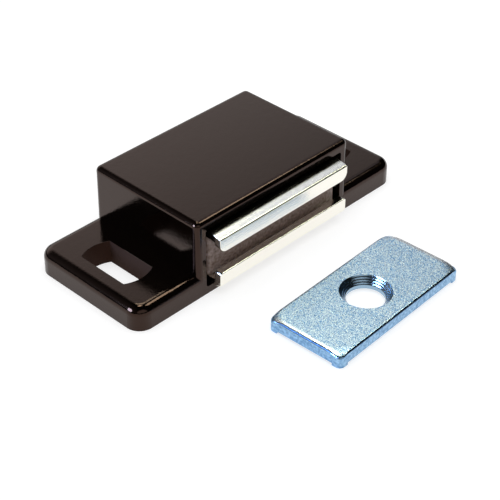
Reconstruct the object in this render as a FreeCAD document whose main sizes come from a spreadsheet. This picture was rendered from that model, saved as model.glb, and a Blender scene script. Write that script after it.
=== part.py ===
import FreeCAD, Part
import math
import os
import Sketcher

# Magnetic cabinet catch with its strike plate, in millimetres.
#
# A moulded case lies flat on the cabinet's side or top: +Z is away from that face, +X is along
# the case from ear to ear, and the pole faces look out along -Y. The origin is the centre of the
# case's mounting face. Inside the case a magnet lies between two folded steel pole plates, and
# the three float in and out together by a small play. The strike plate lies in front of the case.

# %% Driving sizes
# Every size that can be chosen by itself stands here once. All other sizes follow from these.
SIZES = [
    ("case_depth", 19.0, "case front to back at the mounting face"),
    ("ear_length", 9.9, "screw ear, from the housing to its end"),
    ("ear_thickness", 3.35, "screw ears"),
    ("ear_corner_radius", 2.1, "ear corners in plan"),
    ("ear_edge_radius", 1.2, "round of the ears' top edges"),
    ("housing_edge_radius", 0.72, "round of the housing's top edges"),
    ("housing_corner_extra", 0.065, "how much rounder the housing's upright corners are"),
    ("draft_angle", 0.6, "mould draft of the outer walls, in degrees"),
    ("screw_slot_inset", 5.08, "ear's end to the middle of its screw slot"),
    ("screw_slot_width", 4.75, "between the slot's flats, along the case"),
    ("screw_slot_length", 9.2, "diameter of the slot's two end arcs"),
    ("side_wall", 1.5, "housing wall beside the magnet"),
    ("roof_wall", 1.38, "housing wall above the magnet"),
    ("floor_wall", 1.05, "housing wall below the magnet"),
    ("back_wall", 1.4, "housing wall behind the magnet"),
    ("chamber_corner_radius", 0.4, "inside corners of the magnet chamber"),
    ("snap_rib_length", 2.0, "snap rib, front to back"),
    ("snap_rib_lead", 1.2, "sloped lead-in at the front of a snap rib"),
    ("snap_rib_gap", 1.2, "magnet's rear to the start of a snap rib"),
    ("pole_plate_width", 23.3, "pole plates, along the case"),
    ("pole_plate_thickness", 1.0, "pole plate sheet"),
    ("nose_slope", 11.0, "how far the plate's nose dips towards the fold, in degrees"),
    ("nose_start", 0.25, "case front to the line where the nose starts to dip, at rest"),
    ("nose_radius", 1.5, "gentle bend where the nose starts to dip"),
    ("fold_outer_radius", 0.3, "outside of the tight fold between nose and lip"),
    ("fold_inner_radius", 0.1, "inside of the fold"),
    ("sheared_edge_radius", 0.12, "rolled edge of the lip's pole face"),
    ("lip_reach", 1.35, "pole plate's inner face to the lip's free edge"),
    ("upper_lip_corner_radius", 1.1, "free corners of the upper lip"),
    ("lower_lip_corner_radius", 0.4, "free corners of the lower lip"),
    ("plate_tail_radius", 1.0, "rear corners of the pole plates"),
    ("lip_standoff", 0.75, "case front to the back of the lips, at rest"),
    ("plate_side_clearance", 0.75, "pole plate's edge to the side wall"),
    ("tail_clearance", 0.8, "pole plates' rear edge to the chamber's back wall, at rest"),
    ("pack_floor_clearance", 0.2, "lower pole plate to the chamber's floor"),
    ("pack_roof_clearance", 0.62, "upper pole plate to the chamber's roof"),
    ("float_travel", 0.4, "play of the magnet pack, each way from rest"),
    ("notch_play", 0.1, "spare length of a notch beyond the float, each way"),
    ("notch_depth", 0.6, "notch in a pole plate's side"),
    ("notch_clearance", 0.25, "snap rib's tip to the bottom of a notch"),
    ("magnet_overhang", 0.15, "magnet beyond the pole plates, at each side"),
    ("magnet_depth", 10.0, "magnet, front to back"),
    ("magnet_thickness", 5.75, "magnet, between the pole plates"),
    ("magnet_setback", 0.3, "case front to the magnet's front"),
    ("magnet_corner_radius", 0.8, "upright corners of the magnet"),
    ("magnet_edge_radius", 0.2, "top and bottom edges of the magnet"),
    ("strike_margin", 1.745, "strike plate beyond the two pole faces, at each long edge"),
    ("strike_overhang", 0.175, "strike plate beyond the pole plates, at each end"),
    ("strike_thickness", 1.5, "strike plate sheet"),
    ("strike_corner_radius", 0.8, "strike plate corners in plan"),
    ("strike_edge_radius", 0.3, "die-rolled top edge"),
    ("strike_hole_diameter", 5.0, "clearance hole for the strike's screw"),
    ("countersink_diameter", 6.7, "countersink at the strike's top face"),
    ("countersink_angle", 82.0, "full angle of the countersink, in degrees"),
    ("tooth_height", 0.35, "corner teeth below the strike's underside"),
    ("tooth_reach", 1.35, "corner tooth, along each edge"),
    ("corner_drop", 0.65, "how far the pressed corners sink at their tip"),
    ("corner_run", 2.0, "length of a pressed corner, along its diagonal"),
    ("strike_gap", 7.83, "pole faces to the strike's near edge, as laid out"),
    ("strike_shift", 0.06, "case centre to strike centre as laid out, along X"),
    ("strike_turn", 2.3, "how far the strike lies askew, in degrees"),
]

TINY = 1e-4

doc = FreeCAD.newDocument("magnetic_catch")
sheet = doc.addObject("Spreadsheet::Sheet", "Sizes")
for row, (alias, number, note) in enumerate(SIZES, start=1):
    sheet.set(f"A{row}", alias)
    sheet.set(f"B{row}", str(number))
    sheet.set(f"C{row}", note)
    sheet.setAlias(f"B{row}", alias)
doc.recompute()

# %% Places shared by several pieces, as expressions of the sheet's sizes
# Heights, from the mounting face up.
PACK_BOTTOM = "(Sizes.floor_wall + Sizes.pack_floor_clearance)"
MAGNET_BOTTOM = f"({PACK_BOTTOM} + Sizes.pole_plate_thickness)"
PACK_HEIGHT = "(Sizes.magnet_thickness + 2 * Sizes.pole_plate_thickness)"
PACK_TOP = f"({PACK_BOTTOM} + {PACK_HEIGHT})"
CHAMBER_TOP = f"({PACK_TOP} + Sizes.pack_roof_clearance)"
CASE_HEIGHT = f"({CHAMBER_TOP} + Sizes.roof_wall)"

# Distances from the middle of the case, along X.
PLATE_HALF_WIDTH = "(Sizes.pole_plate_width / 2)"
CHAMBER_HALF_WIDTH = f"({PLATE_HALF_WIDTH} + Sizes.plate_side_clearance)"
HOUSING_HALF_WIDTH = f"({CHAMBER_HALF_WIDTH} + Sizes.side_wall)"
CASE_HALF_LENGTH = f"({HOUSING_HALF_WIDTH} + Sizes.ear_length)"
NOTCH_BOTTOM = f"({PLATE_HALF_WIDTH} - Sizes.notch_depth)"
RIB_TIP = f"({NOTCH_BOTTOM} + Sizes.notch_clearance)"

# Places along Y, from the lips at the front to the wall at the back.
CASE_FRONT = "(-Sizes.case_depth / 2)"
LIP_BACK = f"({CASE_FRONT} - Sizes.lip_standoff)"
LIP_FRONT = f"({LIP_BACK} - Sizes.pole_plate_thickness)"
NOSE_START = f"({CASE_FRONT} - Sizes.nose_start)"
MAGNET_FRONT = f"({CASE_FRONT} + Sizes.magnet_setback)"
RIB_FRONT = f"({MAGNET_FRONT} + Sizes.magnet_depth + Sizes.snap_rib_gap)"
RIB_BACK = f"({RIB_FRONT} + Sizes.snap_rib_length)"
CHAMBER_BACK = "(Sizes.case_depth / 2 - Sizes.back_wall)"
PLATE_TAIL = f"({CHAMBER_BACK} - Sizes.tail_clearance)"

# The strike plate covers both pole faces and reaches a little beyond the pole plates' ends.
STRIKE_HALF_LENGTH = f"({PLATE_HALF_WIDTH} + Sizes.strike_overhang)"
STRIKE_HALF_WIDTH = f"({PACK_HEIGHT} / 2 + Sizes.strike_margin)"


def size(expression):
    """The number that an expression of the sheet's sizes comes to."""
    return float(sheet.evalExpression(expression.replace("Sizes.", "")))


# %% Helpers for sketches and features
def new_body(label):
    body = doc.addObject("PartDesign::Body", label)
    body.Label = label
    return body


def new_sketch(body, name, role, **offset):
    """A sketch on one of the body's origin planes, moved by expressions for x, y and z."""
    sketch = body.newObject("Sketcher::SketchObject", name)
    plane = next(item for item in body.Origin.OriginFeatures if item.Role == role)
    sketch.AttachmentSupport = [(plane, "")]
    sketch.MapMode = "FlatFace"
    for direction, expression in offset.items():
        sketch.setExpression(f"AttachmentOffset.Base.{direction}", expression)
    return sketch


def fix(sketch, kind, expression, *place):
    """One dimension of a sketch, bound to an expression."""
    index = sketch.addConstraint(Sketcher.Constraint(kind, *place, size(expression)))
    sketch.setExpression(f"Constraints[{index}]", expression)


def fix_point(sketch, curve, end, across, up):
    fix(sketch, "DistanceX", across, -1, 1, curve, end)
    fix(sketch, "DistanceY", up, -1, 1, curve, end)


def join_loop(sketch, kind, curves):
    """Join each curve's end to the next curve's start, round a closed outline."""
    for this, following in zip(curves, curves[1:] + curves[:1]):
        sketch.addConstraint(Sketcher.Constraint(kind, this, 2, following, 1))


def polygon(sketch, corners):
    """A closed outline of straight lines through corners given as pairs of expressions."""
    points = [FreeCAD.Vector(size(across), size(up), 0) for across, up in corners]
    curves = [
        sketch.addGeometry(Part.LineSegment(start, end))
        for start, end in zip(points, points[1:] + points[:1])
    ]
    join_loop(sketch, "Coincident", curves)
    for curve, (across, up) in zip(curves, corners):
        fix_point(sketch, curve, 1, across, up)


def arc(centre, radius, start_degrees, end_degrees):
    circle = Part.Circle(centre, FreeCAD.Vector(0, 0, 1), radius)
    return Part.ArcOfCircle(circle, math.radians(start_degrees), math.radians(end_degrees))


def rounded_rectangle(sketch, width, height, radius):
    """A rectangle about the sketch's origin, with all four corners rounded alike."""
    half_x, half_y, r = size(width) / 2, size(height) / 2, size(radius)
    curves = []
    for turn in range(4):
        # Each side runs anticlockwise and is followed by the arc at its end.
        quarter = FreeCAD.Rotation(FreeCAD.Vector(0, 0, 1), 90 * turn)
        along, out = (half_x, half_y) if turn % 2 == 0 else (half_y, half_x)
        start = quarter.multVec(FreeCAD.Vector(-along + r, -out, 0))
        end = quarter.multVec(FreeCAD.Vector(along - r, -out, 0))
        centre = quarter.multVec(FreeCAD.Vector(along - r, -out + r, 0))
        curves.append(sketch.addGeometry(Part.LineSegment(start, end)))
        curves.append(sketch.addGeometry(arc(centre, r, 90 * turn - 90, 90 * turn)))
    join_loop(sketch, "Tangent", curves)
    bottom, right, top, left = curves[0::2]
    for side in (bottom, top):
        sketch.addConstraint(Sketcher.Constraint("Horizontal", side))
    for side in (right, left):
        sketch.addConstraint(Sketcher.Constraint("Vertical", side))
    for corner in curves[3::2]:
        sketch.addConstraint(Sketcher.Constraint("Equal", curves[1], corner))
    fix(sketch, "Radius", radius, curves[1])
    fix(sketch, "DistanceY", f"-({height}) / 2", -1, 1, bottom, 1)
    fix(sketch, "DistanceY", f"({height}) / 2", -1, 1, top, 1)
    fix(sketch, "DistanceX", f"({width}) / 2", -1, 1, right, 1)
    fix(sketch, "DistanceX", f"-({width}) / 2", -1, 1, left, 1)


def flat_sided_round(sketch, centre_x, width, diameter):
    """A circle cut by two flats, for a screw slot that lies across the case."""
    x, half_width, r = size(centre_x), size(width) / 2, size(diameter) / 2
    flat = math.degrees(math.acos(half_width / r))
    centre = FreeCAD.Vector(x, 0, 0)
    half_flat = math.sqrt(r**2 - half_width**2)
    right = sketch.addGeometry(
        Part.LineSegment(
            FreeCAD.Vector(x + half_width, -half_flat, 0), FreeCAD.Vector(x + half_width, half_flat, 0)
        )
    )
    back = sketch.addGeometry(arc(centre, r, flat, 180 - flat))
    left = sketch.addGeometry(
        Part.LineSegment(
            FreeCAD.Vector(x - half_width, half_flat, 0), FreeCAD.Vector(x - half_width, -half_flat, 0)
        )
    )
    front = sketch.addGeometry(arc(centre, r, 180 + flat, 360 - flat))
    join_loop(sketch, "Coincident", [right, back, left, front])
    for end_arc in (back, front):
        fix_point(sketch, end_arc, 3, centre_x, "0")
        fix(sketch, "Radius", f"({diameter}) / 2", end_arc)
    for side, flat_x in ((right, f"{centre_x} + {width} / 2"), (left, f"{centre_x} - {width} / 2")):
        sketch.addConstraint(Sketcher.Constraint("Vertical", side))
        fix(sketch, "DistanceX", flat_x, -1, 1, side, 1)


def pad(body, sketch, length, symmetric=False, draft=None):
    feature = body.newObject("PartDesign::Pad", f"{sketch.Name}_pad")
    feature.Profile = sketch
    feature.setExpression("Length", length)
    if symmetric:
        feature.SideType = "Symmetric"
    if draft:
        feature.setExpression("TaperAngle", f"-({draft})")
    doc.recompute()
    return feature


def pocket(body, sketch, length=None, symmetric=False, reverse=False):
    """Cut a sketch out of a body: to a length, or right through if none is given."""
    before = body.Shape.Volume
    feature = body.newObject("PartDesign::Pocket", f"{sketch.Name}_cut")
    feature.Profile = sketch
    feature.Reversed = reverse
    if length:
        feature.setExpression("Length", length)
    else:
        feature.Type = "ThroughAll"
    if symmetric:
        feature.SideType = "Symmetric"
    doc.recompute()
    if body.Shape.Volume > before - TINY:
        raise RuntimeError(f"{feature.Name} cuts nothing from {body.Label}")
    return feature


def fillet(body, name, radius, chosen):
    """Round the edges of the body's last feature that the test 'chosen' picks."""
    base = body.Tip
    names = [f"Edge{i}" for i, edge in enumerate(base.Shape.Edges, start=1) if chosen(edge)]
    if not names:
        raise RuntimeError(f"{name} finds no edge on {body.Label}")
    feature = body.newObject("PartDesign::Fillet", name)
    feature.Base = (base, names)
    feature.setExpression("Radius", radius)
    doc.recompute()
    return feature


def mirror_pair(body, name, originals, roles):
    """Repeat features across one or more of the body's origin planes."""
    feature = body.newObject("PartDesign::MultiTransform", name)
    feature.Originals = originals
    mirrors = []
    for role in roles:
        mirror = doc.addObject("PartDesign::Mirrored", f"{name}_{role[:2].lower()}")
        plane = next(item for item in body.Origin.OriginFeatures if item.Role == role)
        mirror.MirrorPlane = (plane, [""])
        mirrors.append(mirror)
    feature.Transformations = mirrors
    body.Tip = feature
    doc.recompute()
    return feature


def at_height(z):
    """Test for edges that lie wholly at one height."""
    return lambda edge: max(abs(edge.BoundBox.ZMin - z), abs(edge.BoundBox.ZMax - z)) < TINY


def upright(edge):
    """Test for straight edges that run along Z."""
    box = edge.BoundBox
    return box.ZLength > TINY and box.XLength < TINY and box.YLength < TINY


# %% The case: one glossy moulding
def make_case():
    body = new_body("case")

    # The flange carries both ears, and its top edges are rounded before the housing stands on it.
    flange = new_sketch(body, "flange", "XY_Plane")
    rounded_rectangle(flange, f"2 * {CASE_HALF_LENGTH}", "Sizes.case_depth", "Sizes.ear_corner_radius")
    pad(body, flange, "Sizes.ear_thickness", draft="Sizes.draft_angle")
    fillet(body, "ear_edges", "Sizes.ear_edge_radius", at_height(size("Sizes.ear_thickness")))

    # The housing is flush with the flange at the front and the back.
    housing = new_sketch(body, "housing", "XY_Plane")
    # Its upright corners lose a little radius to the draft, and still clear the top edges' round.
    corner_radius = (
        "Sizes.housing_edge_radius + Sizes.housing_corner_extra"
        f" + {CASE_HEIGHT} * tan(Sizes.draft_angle)"
    )
    rounded_rectangle(housing, f"2 * {HOUSING_HALF_WIDTH}", "Sizes.case_depth", corner_radius)
    pad(body, housing, CASE_HEIGHT, draft="Sizes.draft_angle")
    fillet(body, "housing_edges", "Sizes.housing_edge_radius", at_height(size(CASE_HEIGHT)))

    # The chamber is open at the front only. Its sketch lies on the inside of the back wall.
    chamber = new_sketch(
        body,
        "chamber",
        "XZ_Plane",
        y=f"(Sizes.floor_wall + {CHAMBER_TOP}) / 2",
        z=f"-{CHAMBER_BACK}",
    )
    chamber_height = f"({CHAMBER_TOP} - Sizes.floor_wall)"
    rounded_rectangle(
        chamber, f"2 * {CHAMBER_HALF_WIDTH}", chamber_height, "Sizes.chamber_corner_radius"
    )
    pocket(body, chamber, reverse=True)

    # A snap rib on each side wall has a sloped front, which the magnet pack rides over once.
    rib = new_sketch(body, "snap_rib", "XY_Plane", z="Sizes.floor_wall")
    rib_root = f"{CHAMBER_HALF_WIDTH} + Sizes.side_wall / 2"
    polygon(
        rib,
        [
            (rib_root, RIB_FRONT),
            (CHAMBER_HALF_WIDTH, RIB_FRONT),
            (RIB_TIP, f"{RIB_FRONT} + Sizes.snap_rib_lead"),
            (RIB_TIP, RIB_BACK),
            (rib_root, RIB_BACK),
        ],
    )
    rib_pad = pad(body, rib, chamber_height)
    mirror_pair(body, "snap_ribs", [rib_pad], ["YZ_Plane"])

    # The screw slots lie across the case, so that it can be set in or out before it is tightened.
    slots = new_sketch(body, "screw_slots", "XY_Plane")
    for side in ("", "-"):
        flat_sided_round(
            slots,
            f"{side}({CASE_HALF_LENGTH} - Sizes.screw_slot_inset)",
            "Sizes.screw_slot_width",
            "Sizes.screw_slot_length",
        )
    pocket(body, slots, reverse=True)
    return body


# %% The pole plates: one folded steel sheet above the magnet and one below
def make_pole_plate(label, outer_face, inward, lip_corner_radius):
    """A plate whose lip folds towards the other plate. 'inward' is the sign of that direction."""
    body = new_body(label)
    thickness, slope = "Sizes.pole_plate_thickness", "Sizes.nose_slope"
    inner_face = f"{outer_face} {inward} {thickness}"
    free_edge = f"{inner_face} {inward} Sizes.lip_reach"
    # The sheet keeps its thickness round both bends, so its inner corners sit on their bisectors.
    outer_fold = f"{outer_face} {inward} ({NOSE_START} - {LIP_FRONT}) * tan({slope})"
    fold_depth = f"{thickness} * cos({slope}) / (1 + sin({slope}))"
    inner_fold = f"{outer_fold} {inward} {fold_depth}"
    inner_nose_start = f"{NOSE_START} + {thickness} * tan({slope} / 2)"
    outline = new_sketch(body, f"{label}_section", "YZ_Plane")
    polygon(
        outline,
        [
            (PLATE_TAIL, outer_face),
            (PLATE_TAIL, inner_face),
            (inner_nose_start, inner_face),
            (LIP_BACK, inner_fold),
            (LIP_BACK, free_edge),
            (LIP_FRONT, free_edge),
            (LIP_FRONT, outer_fold),
            (NOSE_START, outer_face),
        ],
    )
    pad(body, outline, "Sizes.pole_plate_width", symmetric=True)

    def long_edge_at(y, z):
        def chosen(edge):
            centre = edge.BoundBox.Center
            is_long = edge.BoundBox.XLength > size("Sizes.pole_plate_width") - TINY
            return is_long and abs(centre.y - y) < TINY and abs(centre.z - z) < TINY

        return chosen

    bends = [
        ("outer_fold", "Sizes.fold_outer_radius", LIP_FRONT, outer_fold),
        ("inner_fold", "Sizes.fold_inner_radius", LIP_BACK, inner_fold),
        ("nose_outside", "Sizes.nose_radius + Sizes.pole_plate_thickness", NOSE_START, outer_face),
        ("nose_inside", "Sizes.nose_radius", inner_nose_start, inner_face),
    ]
    for name, radius, y, z in bends:
        fillet(body, f"{label}_{name}", radius, long_edge_at(size(y), size(z)))

    # The lip's free corners, which run through the sheet along Y.
    free_z = size(free_edge)
    fillet(
        body,
        f"{label}_lip_corners",
        lip_corner_radius,
        lambda edge: at_height(free_z)(edge) and edge.BoundBox.XLength < TINY,
    )
    tail_y = size(PLATE_TAIL)
    fillet(
        body,
        f"{label}_tail_corners",
        "Sizes.plate_tail_radius",
        lambda edge: upright(edge) and abs(edge.BoundBox.YMin - tail_y) < TINY,
    )

    # A notch in each side takes a snap rib, with the float's travel to spare both ways.
    notch = new_sketch(body, f"{label}_notch", "XY_Plane")
    notch_spare = "Sizes.float_travel + Sizes.notch_play"
    outside = f"{PLATE_HALF_WIDTH} + Sizes.notch_depth"
    polygon(
        notch,
        [
            (NOTCH_BOTTOM, f"{RIB_FRONT} - ({notch_spare})"),
            (outside, f"{RIB_FRONT} - ({notch_spare})"),
            (outside, f"{RIB_BACK} + {notch_spare}"),
            (NOTCH_BOTTOM, f"{RIB_BACK} + {notch_spare}"),
        ],
    )
    notch_cut = pocket(body, notch, reverse=True)
    mirror_pair(body, f"{label}_notches", [notch_cut], ["YZ_Plane"])

    # Blanking rolls the edges of the pole face, which is the sheet's outer side.
    face_y = size(LIP_FRONT)

    def on_pole_face_rim(edge):
        box = edge.BoundBox
        on_face = max(abs(box.YMin - face_y), abs(box.YMax - face_y)) < TINY
        return on_face and (abs(box.ZMin - free_z) < size("Sizes.lip_reach"))

    fillet(body, f"{label}_pole_face_rim", "Sizes.sheared_edge_radius", on_pole_face_rim)
    return body


# %% The magnet: a pressed ferrite block with rounded upright corners
def make_magnet():
    body = new_body("magnet")
    block = new_sketch(
        body,
        "magnet_block",
        "XY_Plane",
        y=f"{MAGNET_FRONT} + Sizes.magnet_depth / 2",
        z=MAGNET_BOTTOM,
    )
    magnet_width = f"2 * ({PLATE_HALF_WIDTH} + Sizes.magnet_overhang)"
    rounded_rectangle(block, magnet_width, "Sizes.magnet_depth", "Sizes.magnet_corner_radius")
    pad(body, block, "Sizes.magnet_thickness")
    bottom = at_height(size(MAGNET_BOTTOM))
    top = at_height(size(f"{MAGNET_BOTTOM} + Sizes.magnet_thickness"))
    fillet(
        body,
        "magnet_edges",
        "Sizes.magnet_edge_radius",
        lambda edge: bottom(edge) or top(edge),
    )
    return body


# %% The strike plate: a stamped plate whose pressed corners end in teeth
def on_strike_outline(x, y):
    """Whether a point lies on the plate's rounded outline in plan."""
    radius = size("Sizes.strike_corner_radius")
    beyond_x = abs(x) - (size(STRIKE_HALF_LENGTH) - radius)
    beyond_y = abs(y) - (size(STRIKE_HALF_WIDTH) - radius)
    outside = math.hypot(max(beyond_x, 0), max(beyond_y, 0))
    return abs(outside + min(max(beyond_x, beyond_y), 0) - radius) < TINY


def make_strike_plate():
    """Made about its own centre, with its teeth standing on Z = 0, then laid in its place."""
    body = new_body("strike_plate")
    underside = "Sizes.tooth_height"
    top_face = "(Sizes.tooth_height + Sizes.strike_thickness)"

    half_length, half_width = STRIKE_HALF_LENGTH, STRIKE_HALF_WIDTH
    blank = new_sketch(body, "strike_blank", "XY_Plane", z=underside)
    polygon(
        blank,
        [
            (f"-{half_length}", f"-{half_width}"),
            (half_length, f"-{half_width}"),
            (half_length, half_width),
            (f"-{half_length}", half_width),
        ],
    )
    pad(body, blank, "Sizes.strike_thickness")

    # A square tooth stands down from each corner, flush with both edges of the blank.
    tooth = new_sketch(body, "tooth", "XY_Plane")
    polygon(
        tooth,
        [
            (f"{half_length} - Sizes.tooth_reach", f"{half_width} - Sizes.tooth_reach"),
            (half_length, f"{half_width} - Sizes.tooth_reach"),
            (half_length, half_width),
            (f"{half_length} - Sizes.tooth_reach", half_width),
        ],
    )
    tooth_pad = pad(body, tooth, underside)
    mirror_pair(body, "teeth", [tooth_pad], ["XZ_Plane", "YZ_Plane"])
    corner_x, corner_y = size(half_length), size(half_width)

    def outer_corner(edge):
        middle = edge.BoundBox.Center
        beside = abs(abs(middle.x) - corner_x) < TINY and abs(abs(middle.y) - corner_y) < TINY
        return upright(edge) and beside

    fillet(body, "strike_corners", "Sizes.strike_corner_radius", outer_corner)

    # The pressed corner sinks along an arc that starts level with the top face.
    press = new_sketch(body, "corner_press", "XZ_Plane", x=half_length, z=f"-{half_width}")
    press.AttachmentOffset = FreeCAD.Placement(
        press.AttachmentOffset.Base, FreeCAD.Rotation(FreeCAD.Vector(0, 1, 0), 45)
    )
    drop, run = "Sizes.corner_drop", "Sizes.corner_run"
    press_radius = f"(({run})^2 + ({drop})^2) / (2 * {drop})"
    start_x, top_z = -size(run), size(top_face)
    radius = size(press_radius)
    swept = math.degrees(math.asin(size(run) / radius))
    centre = FreeCAD.Vector(start_x, top_z - radius, 0)
    roll = press.addGeometry(arc(centre, radius, 90 - swept, 90))
    start, tip = FreeCAD.Vector(start_x, top_z, 0), FreeCAD.Vector(0, top_z - size(drop), 0)
    above = top_z + size(drop)
    corners = [start, FreeCAD.Vector(start_x, above, 0), FreeCAD.Vector(0, above, 0), tip]
    lines = [
        press.addGeometry(Part.LineSegment(first, second))
        for first, second in zip(corners, corners[1:])
    ]
    join_loop(press, "Coincident", [roll] + lines)
    fix_point(press, roll, 3, f"-({run})", f"{top_face} - {press_radius}")
    fix_point(press, lines[0], 1, f"-({run})", top_face)
    fix_point(press, lines[1], 1, f"-({run})", f"{top_face} + {drop}")
    fix_point(press, lines[2], 1, "0", f"{top_face} + {drop}")
    fix(press, "DistanceX", "0", -1, 1, lines[2], 2)
    press_cut = pocket(body, press, length=f"2 * {half_width}", symmetric=True)
    mirror_pair(body, "pressed_corners", [press_cut], ["XZ_Plane", "YZ_Plane"])

    # Stamping rolls the whole top edge over, down into the pressed corners too.
    lowest = size(f"{top_face} - {drop}") - TINY

    def on_rim(edge):
        middle = edge.valueAt((edge.FirstParameter + edge.LastParameter) / 2)
        return edge.BoundBox.ZMin > lowest and on_strike_outline(middle.x, middle.y)

    fillet(body, "rolled_edge", "Sizes.strike_edge_radius", on_rim)

    # The screw's hole and its countersink are turned out of the plate in one cut.
    hole = new_sketch(body, "screw_hole", "XZ_Plane")
    sink_depth = (
        "(Sizes.countersink_diameter - Sizes.strike_hole_diameter) / 2"
        " / tan(Sizes.countersink_angle / 2)"
    )
    polygon(
        hole,
        [
            ("0", "0"),
            ("Sizes.strike_hole_diameter / 2", "0"),
            ("Sizes.strike_hole_diameter / 2", f"{top_face} - {sink_depth}"),
            ("Sizes.countersink_diameter / 2", top_face),
            ("Sizes.countersink_diameter / 2", f"{top_face} + Sizes.strike_thickness"),
            ("0", f"{top_face} + Sizes.strike_thickness"),
        ],
    )
    drill = body.newObject("PartDesign::Groove", "screw_hole_cut")
    drill.Profile = hole
    drill.ReferenceAxis = (hole, ["V_Axis"])
    drill.Angle = 360
    doc.recompute()

    askew = FreeCAD.Rotation(FreeCAD.Vector(0, 0, 1), size("Sizes.strike_turn"))
    laid_y = size(f"{LIP_FRONT} - Sizes.strike_gap - {half_width}")
    laid = FreeCAD.Vector(size("Sizes.strike_shift"), laid_y, 0)
    body.Placement = FreeCAD.Placement(laid, askew)
    return body


case = make_case()
upper_pole_plate = make_pole_plate(
    "upper_pole_plate", PACK_TOP, "-", "Sizes.upper_lip_corner_radius"
)
lower_pole_plate = make_pole_plate(
    "lower_pole_plate", PACK_BOTTOM, "+", "Sizes.lower_lip_corner_radius"
)
magnet = make_magnet()
strike_plate = make_strike_plate()
sub_parts = [case, magnet, upper_pole_plate, lower_pole_plate, strike_plate]

# %% Check every object, then write each sub-part to its own file
doc.recompute()
for item in doc.Objects:
    if "Invalid" in item.State or "Error" in item.State:
        raise RuntimeError(f"{item.Name} failed: {item.State}")
os.makedirs("parts", exist_ok=True)
for body in sub_parts:
    shape = body.Shape
    if shape.isNull() or not shape.isValid() or len(shape.Solids) != 1:
        raise RuntimeError(f"{body.Label} is not one valid solid")
    shape.exportStep(f"parts/{body.Label}.step")
    print(f"{body.Label}: {shape.Volume:.1f} mm3, {len(shape.Faces)} faces")
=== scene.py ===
# %% [markdown]
# # A magnetic cabinet catch and its strike plate
# The catch is a glossy brown moulding with a ferrite magnet inside it. Two folded steel pole
# plates lead the magnet's field out to the front, where a zinc-plated strike plate meets them.
# The shapes come from the CAD model. This script adds the finishes, the light and the camera.

# %% Load the CAD model
import math

import bpy
from mathutils import Matrix, Vector


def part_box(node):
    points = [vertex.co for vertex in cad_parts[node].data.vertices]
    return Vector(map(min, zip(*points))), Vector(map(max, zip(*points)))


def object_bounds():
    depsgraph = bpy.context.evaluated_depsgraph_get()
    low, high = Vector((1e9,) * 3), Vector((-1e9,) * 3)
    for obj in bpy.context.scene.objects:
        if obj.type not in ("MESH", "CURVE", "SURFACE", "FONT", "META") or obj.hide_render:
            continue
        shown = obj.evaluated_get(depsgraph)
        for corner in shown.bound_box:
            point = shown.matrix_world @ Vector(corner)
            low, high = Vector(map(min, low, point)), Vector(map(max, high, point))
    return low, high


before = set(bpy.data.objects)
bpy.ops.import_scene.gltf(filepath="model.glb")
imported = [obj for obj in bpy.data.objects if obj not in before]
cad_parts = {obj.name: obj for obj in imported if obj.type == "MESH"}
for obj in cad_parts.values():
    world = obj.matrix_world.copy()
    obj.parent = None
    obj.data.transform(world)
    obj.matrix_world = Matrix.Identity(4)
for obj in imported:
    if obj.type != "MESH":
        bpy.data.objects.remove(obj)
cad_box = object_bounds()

MM = 0.001
print("nodes:", ", ".join(sorted(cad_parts)))


# %% [markdown]
# ## Small helpers
# Every material below is a graph of nodes. A node could be added by hand, with a line for each
# setting and each link. One function does that here, so that a finish reads as a list of what
# goes into what.

# %% Helpers for colours, nodes and finishes
def colour(code):
    """A colour written as sRGB hex, in the linear light that Blender works in."""
    parts = [int(code[i : i + 2], 16) / 255 for i in (1, 3, 5)]
    linear = [c / 12.92 if c <= 0.04045 else ((c + 0.055) / 1.055) ** 2.4 for c in parts]
    return (*linear, 1.0)


def add(tree, kind, inputs=None, **settings):
    """One new node. An input is a plain value, a node's output, or a node for its first output."""
    made = tree.nodes.new("ShaderNode" + kind)
    for name, value in settings.items():
        setattr(made, name, value)
    for name, value in (inputs or {}).items():
        if isinstance(value, bpy.types.Node):
            value = value.outputs[0]
        if isinstance(value, bpy.types.NodeSocket):
            tree.links.new(value, made.inputs[name])
        else:
            made.inputs[name].default_value = value
    return made


def new_material(name):
    """An empty node material, and its tree."""
    material = bpy.data.materials.new(name)
    material.use_nodes = True
    material.node_tree.nodes.clear()
    return material, material.node_tree


def rays_that_show(tree):
    """1 for a ray that shows a surface to the camera: straight, mirrored or through glass."""
    rays = add(tree, "LightPath").outputs
    shows = rays["Is Camera Ray"]
    for other in ("Is Glossy Ray", "Is Transmission Ray"):
        shows = add(tree, "Math", {0: shows, 1: rays[other]}, operation="MAXIMUM")
    return shows


def give(node, material):
    """Put a finish on every material slot of a CAD node."""
    target = bpy.data.objects[node]
    for place in target.material_slots:
        place.material = material
    print(node, "is finished in", material.name)


print("mid grey in linear light:", round(colour("#808080")[0], 3))


# %% [markdown]
# ## Moulded brown ABS
# The case is injection moulded in a polished tool, so it is glossy and almost black, and its
# colour shows only in the warm tint of its reflections. A polished moulding is never quite flat:
# it has a faint orange peel some 0.7 mm across and a grain a third as wide, and handling leaves a
# haze in patches a few millimetres wide. The ears' slots are made by core pins, which are not
# polished: there the plastic is matte, and its own brown shows.
#
# Painted masks or separate materials could tell the slots from the skin. Here a few sums on the
# position find them, so the case keeps one material and one mesh. Noise drives the bump, because
# it has no seams. Its scale is worked out from how many ripples or grains fit in a millimetre.

# %% Case: where the matte slots are
abs_plastic, tree = new_material("brown_abs_polished_moulding")
place = add(tree, "TexCoord").outputs["Object"]

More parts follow.
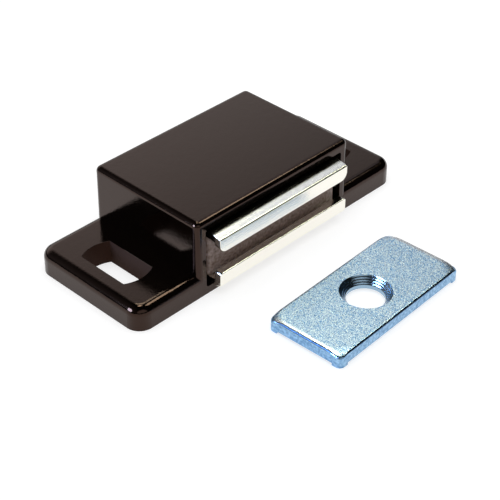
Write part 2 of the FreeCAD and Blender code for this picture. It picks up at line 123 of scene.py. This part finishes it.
# A box round each slot, given by its centre and its half size: below 1 means inside it.
# The slots mirror each other, so the distance from the case's middle serves for both.
SLOT_CENTRE = (18.72 * MM, 0.0, 1.6 * MM)
SLOT_HALF = (2.42 * MM, 4.65 * MM, 1.7 * MM)
mirrored = add(tree, "VectorMath", {0: place}, operation="ABSOLUTE")
from_slot = add(tree, "VectorMath", {0: mirrored, 1: SLOT_CENTRE}, operation="SUBTRACT")
in_boxes = add(tree, "VectorMath", {0: from_slot, 1: SLOT_HALF}, operation="DIVIDE")
in_boxes = add(tree, "VectorMath", {0: in_boxes}, operation="ABSOLUTE")
sides = add(tree, "SeparateXYZ", {"Vector": in_boxes}).outputs
furthest = add(tree, "Math", {0: sides["X"], 1: sides["Y"]}, operation="MAXIMUM")
furthest = add(tree, "Math", {0: furthest, 1: sides["Z"]}, operation="MAXIMUM")
in_slot = add(tree, "Math", {0: furthest, 1: 1.0}, operation="LESS_THAN")
print("slot boxes at x = +/-", round(SLOT_CENTRE[0] / MM, 2), "mm")

# %% Case: glossy brown ABS from a polished mould
PEEL_PER_MM = 1.5
GRIT_PER_MM = 3 * PEEL_PER_MM
HAZE_PER_MM = 0.26
SKIN_BUMP = 0.012 * MM
SLOT_ROUGHNESS = 0.8
haze = add(tree, "TexNoise", {"Vector": place, "Scale": HAZE_PER_MM / MM, "Detail": 4.0})
haze = add(
    tree,
    "MapRange",
    {"Value": haze, "From Min": 0.3, "From Max": 0.7, "To Min": 0.06, "To Max": 0.12},
)
slot_roughness = add(tree, "Math", {0: in_slot, 1: SLOT_ROUGHNESS}, operation="MULTIPLY")
roughness = add(tree, "Math", {0: haze, 1: slot_roughness}, operation="MAXIMUM")
grit = add(tree, "TexNoise", {"Vector": place, "Scale": GRIT_PER_MM / MM, "Detail": 2.0})
peel = add(tree, "TexNoise", {"Vector": place, "Scale": PEEL_PER_MM / MM, "Detail": 3.0})
grit_bump = add(tree, "Bump", {"Height": grit, "Distance": SKIN_BUMP, "Strength": 0.8})
peel_bump = add(
    tree,
    "Bump",
    {"Height": peel, "Distance": SKIN_BUMP, "Strength": 0.6, "Normal": grit_bump},
)
brown = add(
    tree,
    "Mix",
    {"Factor": in_slot, "A": colour("#050302"), "B": colour("#2a150b")},
    data_type="RGBA",
)
skin = add(
    tree,
    "BsdfPrincipled",
    {
        "Base Color": brown.outputs["Result"],
        "Roughness": roughness,
        "IOR": 1.53,
        "Specular Tint": colour("#f0c0ac"),
        "Normal": peel_bump,
    },
)
add(tree, "OutputMaterial", {"Surface": skin})
give("case", abs_plastic)

# %% [markdown]
# ## Nickel-plated steel
# The pole plates are blanked and folded from cold-rolled sheet, then plated. The rolling leaves
# streaks and a grain along the fold, and the plating follows the steel's small pits. The real
# ones are finer: here they are drawn 0.15 to 0.4 mm wide, so that they show.
#
# An anisotropic shader could draw the grain, but stretched noise shows single streaks as well,
# as bright nickel does close up. A Mapping node squeezes the noise across the streaks.

# %% Pole plates: the nose and the drawn streaks
nickel, tree = new_material("nickel_plated_rolled_steel")
place = add(tree, "TexCoord").outputs["Object"]

# The dipping nose is a little crowned: it starts flatter than its 11 degrees and ends steeper.
# A ramp along the nose passes 0 at the crown's top, and its square is how far the rest falls.
NOSE_START, NOSE_END = -9.75 * MM, -11.25 * MM
NOSE_CROWN = 0.047 * MM
forward = add(tree, "SeparateXYZ", {"Vector": place}).outputs["Y"]
along_nose = add(
    tree,
    "MapRange",
    {
        "Value": forward,
        "From Min": NOSE_START,
        "From Max": NOSE_END,
        "To Min": -0.85,
        "To Max": 0.375,
    },
)
fall = add(tree, "Math", {0: along_nose, 1: along_nose}, operation="MULTIPLY")
crown_bump = add(tree, "Bump", {"Height": fall, "Distance": -NOSE_CROWN, "Strength": 1.0})

# Streaks 11 mm long and 0.4 mm wide, along the fold.
LENGTHS_PER_MM, STREAKS_PER_MM = 0.09, 2.6
streaks = add(
    tree,
    "Mapping",
    {
        "Vector": place,
        "Scale": (LENGTHS_PER_MM / MM, STREAKS_PER_MM / MM, STREAKS_PER_MM / MM),
    },
)
drawn = add(tree, "TexNoise", {"Vector": streaks, "Scale": 1.0, "Detail": 2.0})
drawn_bump = add(
    tree,
    "Bump",
    {"Height": drawn, "Distance": 0.012 * MM, "Strength": 0.8, "Normal": crown_bump},
)
print("nose:", round((NOSE_START - NOSE_END) / MM, 2), "mm from its bend to the pole face")

# %% Pole plates: bright nickel on cold-rolled steel
GRAIN_LENGTHS_PER_MM, GRAINS_PER_MM, PITS_PER_MM = 0.3, 5.0, 6.5
along = add(
    tree,
    "Mapping",
    {
        "Vector": place,
        "Scale": (GRAIN_LENGTHS_PER_MM / MM, GRAINS_PER_MM / MM, GRAINS_PER_MM / MM),
    },
)
grain = add(tree, "TexNoise", {"Vector": along, "Scale": 1.0, "Detail": 3.0})
roughness = add(
    tree,
    "MapRange",
    {"Value": grain, "From Min": 0.3, "From Max": 0.7, "To Min": 0.1, "To Max": 0.18},
)
pits = add(tree, "TexNoise", {"Vector": place, "Scale": PITS_PER_MM / MM, "Detail": 3.0})
pit_bump = add(
    tree,
    "Bump",
    {"Height": pits, "Distance": 0.022 * MM, "Strength": 0.7, "Normal": drawn_bump},
)
skin = add(
    tree,
    "BsdfPrincipled",
    {
        "Base Color": colour("#f9f6ec"),
        "Metallic": 1.0,
        "Roughness": roughness,
        "Normal": pit_bump,
    },
)
add(tree, "OutputMaterial", {"Surface": skin})
give("upper_pole_plate", nickel)
give("lower_pole_plate", nickel)

# %% [markdown]
# ## Ferrite
# The magnet is pressed from iron oxide powder and fired, like a dark tile. Its faces are as the
# press left them: dull, brown-grey, and mottled. The powder itself is too fine to see, so the
# mottling is drawn 0.4 mm across.
#
# One flat grey could stand for a face that lies so far back in the case, but the window shows it
# from close up as well. One noise sets both the colour and the height: the mottling is the
# ferrite's own uneven tone, and its darker places fall in the hollows as painted shade.

# %% Magnet: pressed ferrite ceramic
ferrite, tree = new_material("pressed_ferrite_ceramic")
place = add(tree, "TexCoord").outputs["Object"]
MOTTLES_PER_MM = 2.5
powder = add(tree, "TexNoise", {"Vector": place, "Scale": MOTTLES_PER_MM / MM, "Detail": 4.0})
mottling = add(tree, "MapRange", {"Value": powder, "From Min": 0.3, "From Max": 0.7})
# The mottled grey is random tone, and painted shade too: it is darkest where the bump is lowest.
grey = add(
    tree,
    "Mix",
    {"Factor": mottling, "A": colour("#6e584e"), "B": colour("#b49e94")},
    data_type="RGBA",
)
powder_bump = add(tree, "Bump", {"Height": powder, "Distance": 0.04 * MM, "Strength": 0.7})
skin = add(
    tree,
    "BsdfPrincipled",
    {"Base Color": grey.outputs["Result"], "Roughness": 0.45, "Normal": powder_bump},
)
add(tree, "OutputMaterial", {"Surface": skin})
give("magnet", ferrite)

# %% [markdown]
# ## Blue-passivated zinc
# The strike plate is blanked from sheet, barrel plated with zinc and passivated, which gives it a
# pale blue cast and a sparkle. The real grains of the plating are finer: here they are drawn one
# or two tenths of a millimetre across, so that they show. The sheared edges are painted a darker
# blue, as painted shade for the shaded paper that they mirror. The die rolls the face over for
# 0.8 mm before the ends and about half as far before the long sides. The rolled ends are painted
# white as a painted highlight, and a painted dark line runs along the top of the rolled rim. The
# countersink keeps its turning grooves, and is painted a greyer blue as painted shade.
#
# The plate has one mesh, so each of these places is found by its distance from the plate's own
# outline and from the hole's axis. The masks then choose the tone, the gloss and the bump.

# %% Strike plate: its own axes and the rolled rim
zinc, tree = new_material("blue_passivated_zinc_plating")
place = add(tree, "TexCoord").outputs["Object"]

# The plate lies askew, so its own axes are found first: its centre at 0, its length along X.
strike_low, strike_high = (Vector(corner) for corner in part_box("strike_plate"))
strike_centre = (strike_low + strike_high) / 2
STRIKE_TURN = math.radians(2.3)
STRIKE_HALF = (11.825 * MM, 5.62 * MM)
CORNER_RADIUS = 0.8 * MM
own = add(
    tree,
    "Mapping",
    {
        "Vector": place,
        "Location": (strike_centre.x, strike_centre.y, 0.0),
        "Rotation": (0.0, 0.0, STRIKE_TURN),
    },
    vector_type="TEXTURE",
)
mirrored = add(tree, "VectorMath", {0: own}, operation="ABSOLUTE")
inward = add(
    tree, "VectorMath", {0: (*STRIKE_HALF, 1.0), 1: mirrored}, operation="SUBTRACT"
)
inward = add(tree, "SeparateXYZ", {"Vector": inward}).outputs

# Each roll runs from 0 to 1 at the edge, and the face sags with its square.
END_ROLL_WIDTH, SIDE_ROLL_WIDTH = 0.8 * MM, 0.45 * MM
end_roll = add(
    tree, "MapRange", {"Value": inward["X"], "From Min": END_ROLL_WIDTH, "From Max": 0.0}
)
side_roll = add(
    tree, "MapRange", {"Value": inward["Y"], "From Min": SIDE_ROLL_WIDTH, "From Max": 0.0}
)
end_sag = add(tree, "Math", {0: end_roll, 1: end_roll}, operation="MULTIPLY")
side_sag = add(tree, "Math", {0: side_roll, 1: side_roll}, operation="MULTIPLY")
sag = add(tree, "Math", {0: end_sag, 1: side_sag}, operation="ADD")
sag_bump = add(tree, "Bump", {"Height": sag, "Distance": -0.1 * MM, "Strength": 1.0})
print("strike plate's centre:", [round(v / MM, 2) for v in strike_centre], "mm")

# %% Strike plate: the countersink's grooves
# The grooves are rings about the hole's axis, 0.22 mm apart, between the hole and the rim.
GROOVE_PITCH = 0.22 * MM
SINK_RADIUS = 3.36 * MM
flat = add(tree, "VectorMath", {0: own, 1: (1.0, 1.0, 0.0)}, operation="MULTIPLY")
from_axis = add(tree, "VectorMath", {0: flat}, operation="LENGTH").outputs["Value"]
phase = add(tree, "Math", {0: from_axis, 1: 2 * math.pi / GROOVE_PITCH}, operation="MULTIPLY")
wave = add(tree, "Math", {0: phase}, operation="SINE")
in_sink = add(tree, "Math", {0: from_axis, 1: SINK_RADIUS}, operation="LESS_THAN")
groove = add(tree, "Math", {0: wave, 1: in_sink}, operation="MULTIPLY")
groove_bump = add(
    tree,
    "Bump",
    {"Height": groove, "Distance": 0.011 * MM, "Strength": 1.0, "Normal": sag_bump},
)
print("countersink grooves:", round(GROOVE_PITCH / MM, 2), "mm apart")

# %% Strike plate: the sheared edge's painted shade and the rim's painted dark line
# How far a point lies inside the outline, with its rounded corners.
corner_centre = (*(half - CORNER_RADIUS for half in STRIKE_HALF), 1.0)
past_corner = add(
    tree, "VectorMath", {0: mirrored, 1: corner_centre}, operation="SUBTRACT"
)
past_corner = add(
    tree, "VectorMath", {0: past_corner, 1: (0.0, 0.0, 0.0)}, operation="MAXIMUM"
)
past_corner = add(tree, "VectorMath", {0: past_corner}, operation="LENGTH").outputs["Value"]
inside = add(tree, "Math", {0: CORNER_RADIUS, 1: past_corner}, operation="SUBTRACT")

# The sheared edge is what lies near the outline and below the rolled rim, teeth and all. It is
# painted a darker blue there, as painted shade for the shaded paper that it mirrors.
RIM_LOW, RIM_HIGH = 1.6 * MM, 1.66 * MM
NEAR_OUTLINE = 0.79 * MM
up = add(tree, "SeparateXYZ", {"Vector": own}).outputs["Z"]
below_rim = add(
    tree, "MapRange", {"Value": up, "From Min": RIM_HIGH, "From Max": RIM_LOW}
)
near_edge = add(tree, "Math", {0: inside, 1: NEAR_OUTLINE}, operation="LESS_THAN")
painted_edge_shade = add(tree, "Math", {0: below_rim, 1: near_edge}, operation="MULTIPLY")

# Along the top of the rolled rim a dark line is painted: painted shade, for the dark that the
# rim's edge mirrors.
DARK_RIM_START, DARK_RIM_FULL = 0.2 * MM, 0.14 * MM
above_edge = add(tree, "Math", {0: 1.0, 1: below_rim}, operation="SUBTRACT")
on_rim = add(
    tree, "MapRange", {"Value": inside, "From Min": DARK_RIM_START, "From Max": DARK_RIM_FULL}
)
painted_dark_rim = add(tree, "Math", {0: on_rim, 1: above_edge}, operation="MULTIPLY")
print("sheared edge: up to", round(RIM_LOW / MM, 2), "mm above the paper")

# %% Strike plate: the colours of the plating, and the painted highlight and shade
FROST_PER_MM, PATCHES_PER_MM = 8.5, 3.0
mottle = add(tree, "TexNoise", {"Vector": place, "Scale": FROST_PER_MM / MM, "Detail": 2.0})
mottling = add(tree, "MapRange", {"Value": mottle, "From Min": 0.42, "From Max": 0.58})
film = add(tree, "TexNoise", {"Vector": place, "Scale": PATCHES_PER_MM / MM, "Detail": 3.0})
patches = add(tree, "MapRange", {"Value": film, "From Min": 0.35, "From Max": 0.65})
# Painted shade: the sheared edge's two blues are darker than the face, for the shaded paper it
# mirrors; random patches pick between them.
patchy_edge_shade = add(
    tree,
    "Mix",
    {"Factor": patches, "A": colour("#6693bd"), "B": colour("#9cc2e2")},
    data_type="RGBA",
)
tone = add(
    tree,
    "Mix",
    {"Factor": mottling, "A": colour("#6096ca"), "B": colour("#ebf9ff")},
    data_type="RGBA",
)
# Painted highlight: the rolled ends are painted white, which brightens the lamp's reflection
# there.
painted_end_highlight = add(tree, "Math", {0: end_roll, 1: 0.7}, operation="POWER")
# Over the face go a painted white highlight on the rolled ends, painted shade in the countersink,
# a painted dark line along the rim, and the sheared edge's painted shade.
for cover, its_tone in (
    (painted_end_highlight, colour("#ffffff")),
    # Painted shade: the countersink is painted a greyer, darker blue than the face.
    (in_sink, colour("#94b0c6")),
    (painted_dark_rim, colour("#263c54")),
    (painted_edge_shade, patchy_edge_shade.outputs["Result"]),
):
    tone = add(
        tree,
        "Mix",
        {"Factor": cover, "A": tone.outputs["Result"], "B": its_tone},
        data_type="RGBA",
    )
print("zinc so far:", len(tree.nodes), "nodes")

# %% Strike plate: zinc plating with a blue passivate
GLINTS_PER_MM = 5.2
grains = add(tree, "TexVoronoi", {"Vector": place, "Scale": GLINTS_PER_MM / MM})
glint = add(tree, "SeparateColor", {"Color": grains.outputs["Color"]})
grain_roughness = add(tree, "MapRange", {"Value": glint, "To Min": 0.26, "To Max": 0.4})
# Rolling and turning leave the rim and the countersink smoother than the face.
smooth = add(tree, "Math", {0: end_roll, 1: side_roll}, operation="MAXIMUM")
smooth = add(tree, "Math", {0: smooth, 1: in_sink}, operation="MAXIMUM")
smoothing = add(tree, "MapRange", {"Value": smooth, "To Min": 1.0, "To Max": 0.45})
roughness = add(tree, "Math", {0: grain_roughness, 1: smoothing}, operation="MULTIPLY")
grain_bump = add(
    tree,
    "Bump",
    {"Height": mottle, "Distance": 0.03 * MM, "Strength": 0.8, "Normal": groove_bump},
)
skin = add(
    tree,
    "BsdfPrincipled",
    {
        "Base Color": tone.outputs["Result"],
        "Metallic": 1.0,
        "Roughness": roughness,
        "Normal": grain_bump,
    },
)
add(tree, "OutputMaterial", {"Surface": skin})
give("strike_plate", zinc)

# %% [markdown]
# ## The studio
# The catch lies on white paper under a large soft light. Glossy black plastic shows whatever
# stands round it, so the studio has a bright sweep behind the catch, a few smaller panels, and
# dark cloth elsewhere: flat tops reflect the sweep, upright faces reflect the paper, and every
# rounded edge between them reflects the dark and draws a black line. Real panels could stand
# there as planes, but one dome whose brightness depends on the direction is smoother and quicker
# to adjust. The dome is seen in reflections only, and lights no matte surface.

# %% Floor: white paper
low, high = (Vector(corner) for corner in cad_box)
middle = (low + high) / 2
floor_mesh = bpy.data.meshes.new("paper")
REACH = 3.0
floor_mesh.from_pydata(
    [(-REACH, -REACH, 0), (REACH, -REACH, 0), (REACH, REACH, 0), (-REACH, REACH, 0)],
    [],
    [(0, 1, 2, 3)],
)
floor = bpy.data.objects.new("paper", floor_mesh)
bpy.context.collection.objects.link(floor)
floor.location.z = low.z
paper, tree = new_material("white_paper")
# The paper's own colour keeps the shadows, and its white is added only where it is seen.
white = add(tree, "Math", {0: rays_that_show(tree), 1: 0.66}, operation="MULTIPLY")
skin = add(
    tree,
    "BsdfPrincipled",
    {
        "Base Color": (0.5, 0.5, 0.5, 1.0),
        "Roughness": 1.0,
        "Specular IOR Level": 0.0,
        "Emission Color": (1.0, 1.0, 1.0, 1.0),
        "Emission Strength": white,
    },
)
add(tree, "OutputMaterial", {"Surface": skin})
floor_mesh.materials.append(paper)
print("floor:", 2 * REACH, "m square")


# %% Surround: the inside of a half sphere
def dome(name, radius, rings, segments):
    """The inside of a half sphere, standing on the paper."""
    points, faces = [], []
    for ring in range(rings + 1):
        lift = math.pi / 2 * ring / rings
        for step in range(segments):
            turn = 2 * math.pi * step / segments
            points.append(
                (
                    radius * math.cos(lift) * math.cos(turn),
                    radius * math.cos(lift) * math.sin(turn),
                    radius * math.sin(lift),
                )
            )
    for ring in range(rings):
        for step in range(segments):
            near, far = ring * segments + step, ring * segments + (step + 1) % segments
            faces.append((near, near + segments, far + segments, far))
    mesh = bpy.data.meshes.new(name)
    mesh.from_pydata(points, [], faces)
    made = bpy.data.objects.new(name, mesh)
    bpy.context.collection.objects.link(made)
    return made


surround = dome("surround", radius=1.2, rings=24, segments=64)
surround.visible_camera = False
surround.visible_diffuse = False
surround.visible_shadow = False
print("surround:", len(surround.data.polygons), "faces")

# %% Surround: a bright sweep behind, dark cloth elsewhere
cloth, tree = new_material("studio_surround")
place = add(tree, "TexCoord").outputs["Object"]
facing = add(tree, "VectorMath", {0: place}, operation="NORMALIZE")
rise = add(tree, "SeparateXYZ", {"Vector": facing}).outputs["Z"]

# Each soft panel: what it is, its direction, the cosines where it starts and is full, the height
# at which it ends, its brightness and its tint.
panels = [
    ("sweep behind", (0.326, 0.946, 0.0), 0.574, 0.85, 0.76, 1.24, (1.0, 0.97, 0.96)),
    ("dim wall on the left", (-0.8, 0.56, -0.25), 0.0, 1.0, 1.1, 0.26, (0.9, 0.92, 1.0)),
    ("pale panel above the front", (0.6, 0.31, 0.74), 0.991, 0.997, 1.1, 1.08, (0.86, 0.9, 1.0)),
    ("sweep for the other side", (-0.42, -0.9, 0.3), 0.86, 0.93, 1.1, 0.8, (1.0, 1.0, 1.0)),
]
SOFT_EDGE = 0.06
glow = (0.004, 0.0035, 0.0035)  # the dark cloth itself
for title, direction, start, full, top, level, tint in panels:
    towards = add(tree, "VectorMath", {0: facing, 1: direction}, operation="DOT_PRODUCT")
    amount = add(
        tree,
        "MapRange",
        {
            "Value": towards.outputs["Value"],
            "From Min": start,
            "From Max": full,
            "To Max": level,
        },
    )
    under_top = add(
        tree, "MapRange", {"Value": rise, "From Min": top, "From Max": top - SOFT_EDGE}
    )
    amount = add(tree, "Math", {0: amount, 1: under_top}, operation="MULTIPLY")
    light = add(tree, "VectorMath", {0: tint, "Scale": amount}, operation="SCALE")
    glow = add(tree, "VectorMath", {0: light, 1: glow}, operation="ADD")
    print("panel:", title)

# From 15 degrees down to 9 the panels fade out, and the dark below draws the far rims' black line.
DARK_BELOW, FULL_ABOVE = 0.16, 0.26
above = add(tree, "MapRange", {"Value": rise, "From Min": DARK_BELOW, "From Max": FULL_ABOVE})
shown = add(tree, "VectorMath", {0: glow, "Scale": above}, operation="SCALE")
emission = add(tree, "Emission", {"Color": shown, "Strength": 1.0})
add(tree, "OutputMaterial", {"Surface": emission})
surround.data.materials.append(cloth)

# %% World: white where it is seen, half as bright where it lights matte surfaces
world = bpy.data.worlds.new("studio")
bpy.context.scene.world = world
world.use_nodes = True
tree = world.node_tree
tree.nodes.clear()
level = add(tree, "MapRange", {"Value": rays_that_show(tree), "To Min": 0.5, "To Max": 1.0})
sky = add(tree, "Background", {"Color": (1.0, 1.0, 1.0, 1.0), "Strength": level})
add(tree, "OutputWorld", {"Surface": sky})
print("world:", world.name)


# %% [markdown]
# ## The lights
# One wide lamp overhead lights the matte surfaces. The small ones only show in reflections: on
# plastic as glossy as this, a lamp is a bright line along a rounded edge, so each lamp is placed
# where one edge of the case mirrors it. Glowing planes could do the same. A lamp is chosen
# because its power follows from the brightness that its reflection should have.

# %% Lights
LAMP_DISTANCE = 0.6


def area_light(name, direction, distance, across, radiance, tint, mirrored=True):
    """A round lamp that only shows in reflections, or one that only lights matte surfaces."""
    lamp = bpy.data.lights.new(name, "AREA")
    lamp.shape = "DISK"
    lamp.size = across
    lamp.color = tint
    lamp.energy = radiance * math.pi * math.pi * (across / 2) ** 2
    made = bpy.data.objects.new(name, lamp)
    away = Vector(direction).normalized()
    made.location = middle + away * distance
    made.rotation_euler = away.to_track_quat("Z", "Y").to_euler()
    made.visible_glossy = mirrored
    made.visible_diffuse = not mirrored
    bpy.context.collection.objects.link(made)
    print("light:", name)


warm, cool = (0.96, 1.0, 0.82), (0.54, 0.7, 1.0)
area_light("overhead", (0.0, 0.0, 1.0), 0.8, 1.0, 1.2, (1.0, 1.0, 1.0), mirrored=False)
area_light("warm_key", (0.51, -0.14, 0.85), LAMP_DISTANCE, 0.21, 7.0, warm)
area_light("warm_back", (0.38, 0.43, 0.82), LAMP_DISTANCE, 0.18, 4.5, warm)
area_light("warm_top", (0.1, 0.15, 0.98), LAMP_DISTANCE, 0.15, 11.0, warm)
area_light("cool_rim", (-0.88, 0.31, 0.36), LAMP_DISTANCE, 0.3, 28.0, cool)

# %% [markdown]
# ## The camera
# A long lens from the front left and above, as a catalogue shows small hardware: both finished
# faces of the case, the pole faces and the strike plate are in view together. A Track To
# constraint could aim it. Its axes are worked out here instead, so that a slight roll is possible.

# %% Camera
# The turn is from straight in front, the lift is above the paper, and the roll tips the frame.
TURN, LIFT, ROLL = -46.153, 36.593, 0.455
DISTANCE = 183.23 * MM
LENS, SENSOR = 101.74, 36.0  # in millimetres, as on a real lens
turn, lift, roll = (math.radians(angle) for angle in (TURN, LIFT, ROLL))
back = Vector(
    (math.sin(turn) * math.cos(lift), -math.cos(turn) * math.cos(lift), math.sin(lift))
)
right = Vector((math.cos(turn), math.sin(turn), 0))
up = back.cross(right)
across = math.cos(roll) * right + math.sin(roll) * up
upward = math.cos(roll) * up - math.sin(roll) * right
target = Vector((-2.053, -6.924, 0)) * MM
lens = bpy.data.cameras.new("catalogue")
lens.sensor_width = SENSOR
lens.lens = LENS
camera = bpy.data.objects.new("catalogue", lens)
axes = Matrix((across, upward, back)).transposed().to_4x4()
camera.matrix_world = Matrix.Translation(target + back * DISTANCE) @ axes
bpy.context.collection.objects.link(camera)
bpy.context.scene.camera = camera
bpy.context.scene.view_settings.view_transform = "Standard"
print("camera:", LENS, "mm lens,", round(DISTANCE / MM), "mm away")
